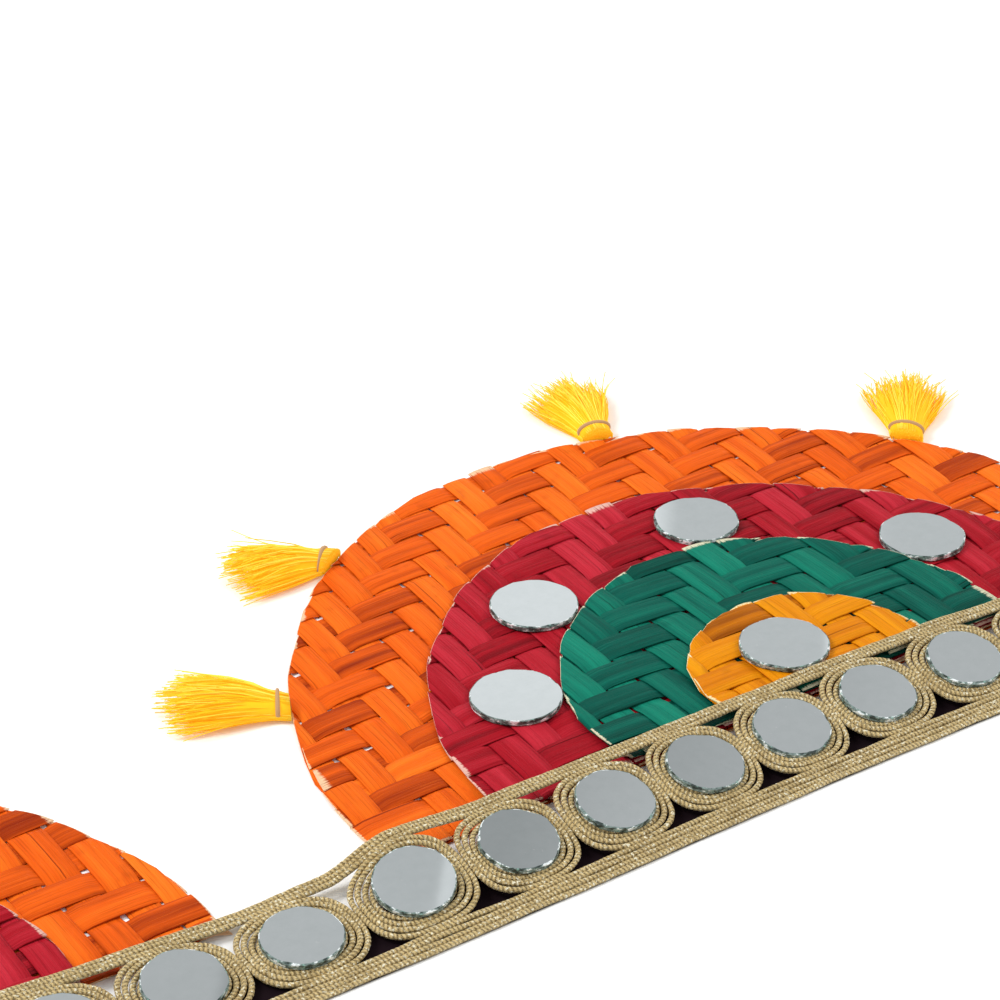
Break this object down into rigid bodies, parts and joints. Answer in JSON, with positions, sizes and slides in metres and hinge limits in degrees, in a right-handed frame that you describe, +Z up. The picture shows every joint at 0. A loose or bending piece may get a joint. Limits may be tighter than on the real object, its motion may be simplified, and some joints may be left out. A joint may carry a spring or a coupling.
{
  "type": "toran door hanging",
  "caption": "Door hanging: a gold cord lace with small round mirrors carries half-round fans of plaited coloured palm strip with mirrors and yellow tassels.",
  "frame": {"origin": "middle of the hanging's footprint, on the surface that it lies on", "axes": "+X along the lace, +Y from the lace towards the tassels, +Z up from the surface"},
  "size_m": [0.829, 0.1954, 0.0097],
  "materials": {
    "gold_cord": "twisted metallic gold cord, sewn in rows and rounds",
    "orange_palm_strip": "dyed plaited palm strip, matt and fibrous",
    "crimson_palm_strip": "dyed plaited palm strip, matt and fibrous",
    "green_palm_strip": "dyed plaited palm strip, matt and fibrous",
    "amber_palm_strip": "dyed plaited palm strip, matt and fibrous",
    "mirror_glass": "round cut glass mirror with a ground edge",
    "yellow_silk": "soft bright silk thread"
  },
  "bodies": {
    "root": {"mirror_lace": "gold_cord", "fan_1_orange_mat": "orange_palm_strip", "fan_1_crimson_mat": "crimson_palm_strip", "fan_1_green_mat": "green_palm_strip", "fan_1_amber_mat": "amber_palm_strip", "fan_1_mirror_1": "mirror_glass", "fan_1_mirror_2": "mirror_glass", "fan_1_mirror_3": "mirror_glass", "fan_1_mirror_4": "mirror_glass", "fan_1_mirror_5": "mirror_glass", "fan_1_tassel_1": "yellow_silk", "fan_1_tassel_2": "yellow_silk", "fan_1_tassel_3": "yellow_silk", "fan_1_tassel_4": "yellow_silk", "fan_2_orange_mat": "orange_palm_strip", "fan_2_crimson_mat": "crimson_palm_strip", "fan_2_green_mat": "green_palm_strip", "fan_2_amber_mat": "amber_palm_strip", "fan_2_mirror_1": "mirror_glass", "fan_2_mirror_2": "mirror_glass", "fan_2_mirror_3": "mirror_glass", "fan_2_mirror_4": "mirror_glass", "fan_2_mirror_5": "mirror_glass", "fan_2_tassel_1": "yellow_silk", "fan_2_tassel_2": "yellow_silk", "fan_2_tassel_3": "yellow_silk", "fan_2_tassel_4": "yellow_silk", "fan_3_orange_mat": "orange_palm_strip", "fan_3_crimson_mat": "crimson_palm_strip", "fan_3_green_mat": "green_palm_strip", "fan_3_amber_mat": "amber_palm_strip", "fan_3_mirror_1": "mirror_glass", "fan_3_mirror_2": "mirror_glass", "fan_3_mirror_3": "mirror_glass", "fan_3_mirror_4": "mirror_glass", "fan_3_mirror_5": "mirror_glass", "fan_3_tassel_1": "yellow_silk", "fan_3_tassel_2": "yellow_silk", "fan_3_tassel_3": "yellow_silk", "fan_3_tassel_4": "yellow_silk"}
  },
  "joints": []
}
